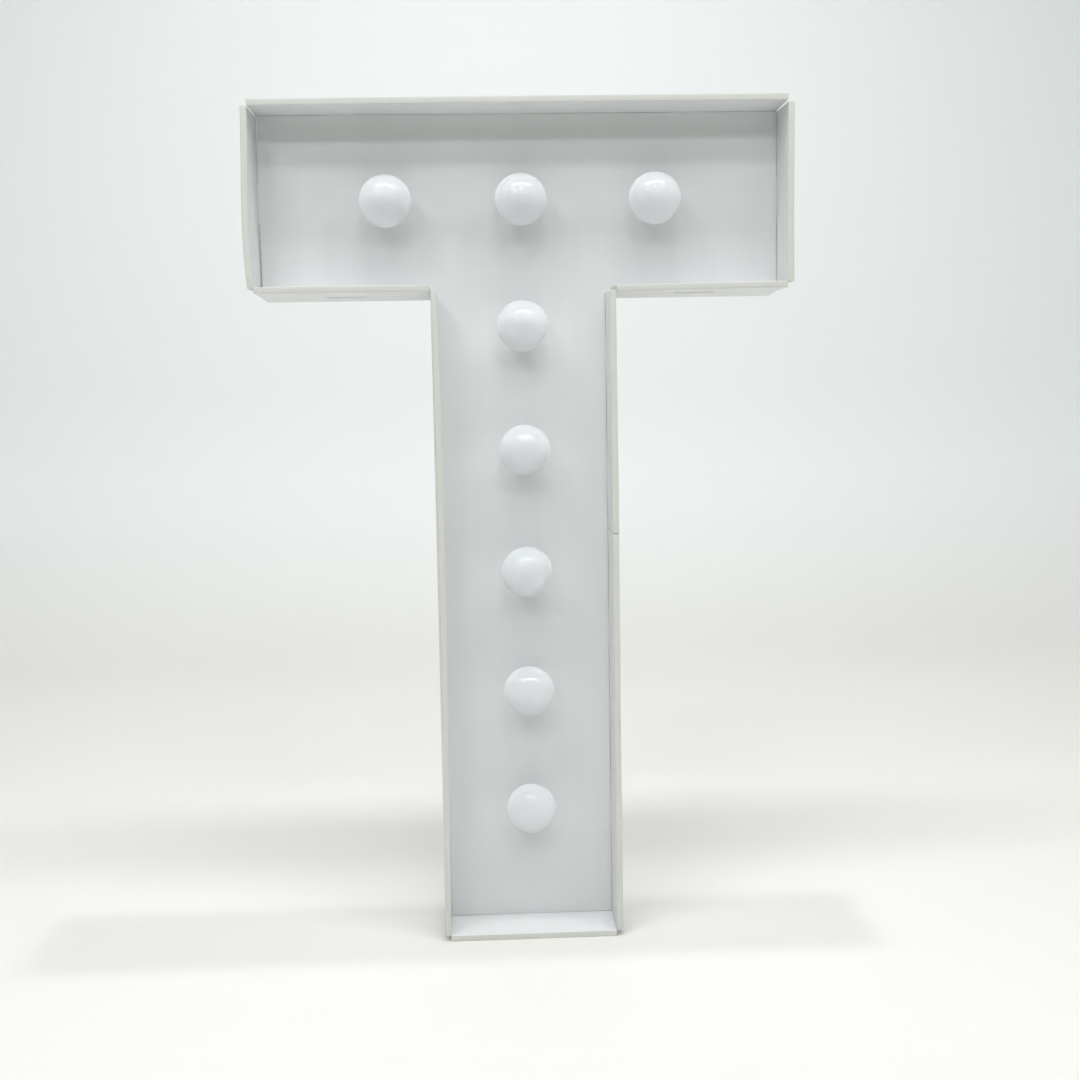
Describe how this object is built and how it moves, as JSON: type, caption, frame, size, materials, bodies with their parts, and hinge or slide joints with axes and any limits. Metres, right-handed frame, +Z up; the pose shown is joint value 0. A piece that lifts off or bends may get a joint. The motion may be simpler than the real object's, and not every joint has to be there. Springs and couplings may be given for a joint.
{
  "type": "light-up letter",
  "caption": "Open T-shaped tray of white board, held by tabs and slots, with milky screw-on globe lamps, wiring behind its panel and a switched battery case.",
  "frame": {"origin": "centre of the footprint, on the floor under the foot wall", "axes": "+X to the right seen from the front, +Y to the back, +Z up"},
  "size_m": [0.775, 0.14, 1.22],
  "materials": {
    "board": "satin",
    "globe": "gloss",
    "socket": "satin",
    "light_board": "satin",
    "emitter": "gloss",
    "wire": "satin",
    "case": "satin",
    "cell": "satin",
    "contact": "satin",
    "button": "satin",
    "pad": "matte"
  },
  "bodies": {
    "letter": {"face_panel": "board", "top_wall": "board", "left_end_wall": "board", "right_end_wall": "board", "left_arm_wall": "board", "right_arm_wall": "board", "left_stem_wall": "board", "right_stem_wall_upper": "board", "right_stem_wall_lower": "board", "foot_wall": "board", "socket_1": "socket", "socket_2": "socket", "socket_3": "socket", "socket_4": "socket", "socket_5": "socket", "socket_6": "socket", "socket_7": "socket", "socket_8": "socket", "clamp_rings": "socket", "socket_end_caps": "socket", "light_boards": "light_board", "light_emitters": "emitter", "lead_wires": "wire", "wire_1_2": "wire", "wire_2_3": "wire", "wire_2_4": "wire", "wire_4_5": "wire", "wire_5_6": "wire", "wire_6_7": "wire", "wire_7_8": "wire", "feed_wire": "wire", "wire_clips": "socket", "battery_case": "case", "cells": "cell", "cell_contacts": "contact", "switch_frame": "contact", "foam_pads": "pad"},
    "lamp_globe_1": {"globe_1": "globe"},
    "lamp_globe_2": {"globe_2": "globe"},
    "lamp_globe_3": {"globe_3": "globe"},
    "lamp_globe_4": {"globe_4": "globe"},
    "lamp_globe_5": {"globe_5": "globe"},
    "lamp_globe_6": {"globe_6": "globe"},
    "lamp_globe_7": {"globe_7": "globe"},
    "lamp_globe_8": {"globe_8": "globe"},
    "lid": {"battery_lid": "case"},
    "button": {"switch_button": "button"}
  },
  "joints": [
    {"name": "globe_1_screw", "type": "hinge", "parent": "letter", "child": "lamp_globe_1", "pos_m": [-0.193, 0, 1.084], "axis": [0, -1, 0], "range_deg": [0, 540]},
    {"name": "globe_2_screw", "type": "hinge", "parent": "letter", "child": "lamp_globe_2", "pos_m": [0, 0, 1.084], "axis": [0, -1, 0], "range_deg": [0, 540]},
    {"name": "globe_3_screw", "type": "hinge", "parent": "letter", "child": "lamp_globe_3", "pos_m": [0.193, 0, 1.084], "axis": [0, -1, 0], "range_deg": [0, 540]},
    {"name": "globe_4_screw", "type": "hinge", "parent": "letter", "child": "lamp_globe_4", "pos_m": [0, 0, 0.9048], "axis": [0, -1, 0], "range_deg": [0, 540]},
    {"name": "globe_5_screw", "type": "hinge", "parent": "letter", "child": "lamp_globe_5", "pos_m": [0, 0, 0.7256], "axis": [0, -1, 0], "range_deg": [0, 540]},
    {"name": "globe_6_screw", "type": "hinge", "parent": "letter", "child": "lamp_globe_6", "pos_m": [0, 0, 0.5464], "axis": [0, -1, 0], "range_deg": [0, 540]},
    {"name": "globe_7_screw", "type": "hinge", "parent": "letter", "child": "lamp_globe_7", "pos_m": [0, 0, 0.3672], "axis": [0, -1, 0], "range_deg": [0, 540]},
    {"name": "globe_8_screw", "type": "hinge", "parent": "letter", "child": "lamp_globe_8", "pos_m": [0, 0, 0.188], "axis": [0, -1, 0], "range_deg": [0, 540]},
    {"name": "lid_slide", "type": "slide", "parent": "letter", "child": "lid", "axis": [0, 0, -1], "range_m": [0, 0.057]},
    {"name": "switch_slide", "type": "slide", "parent": "letter", "child": "button", "axis": [1, 0, 0], "range_m": [0, 0.004]}
  ]
}
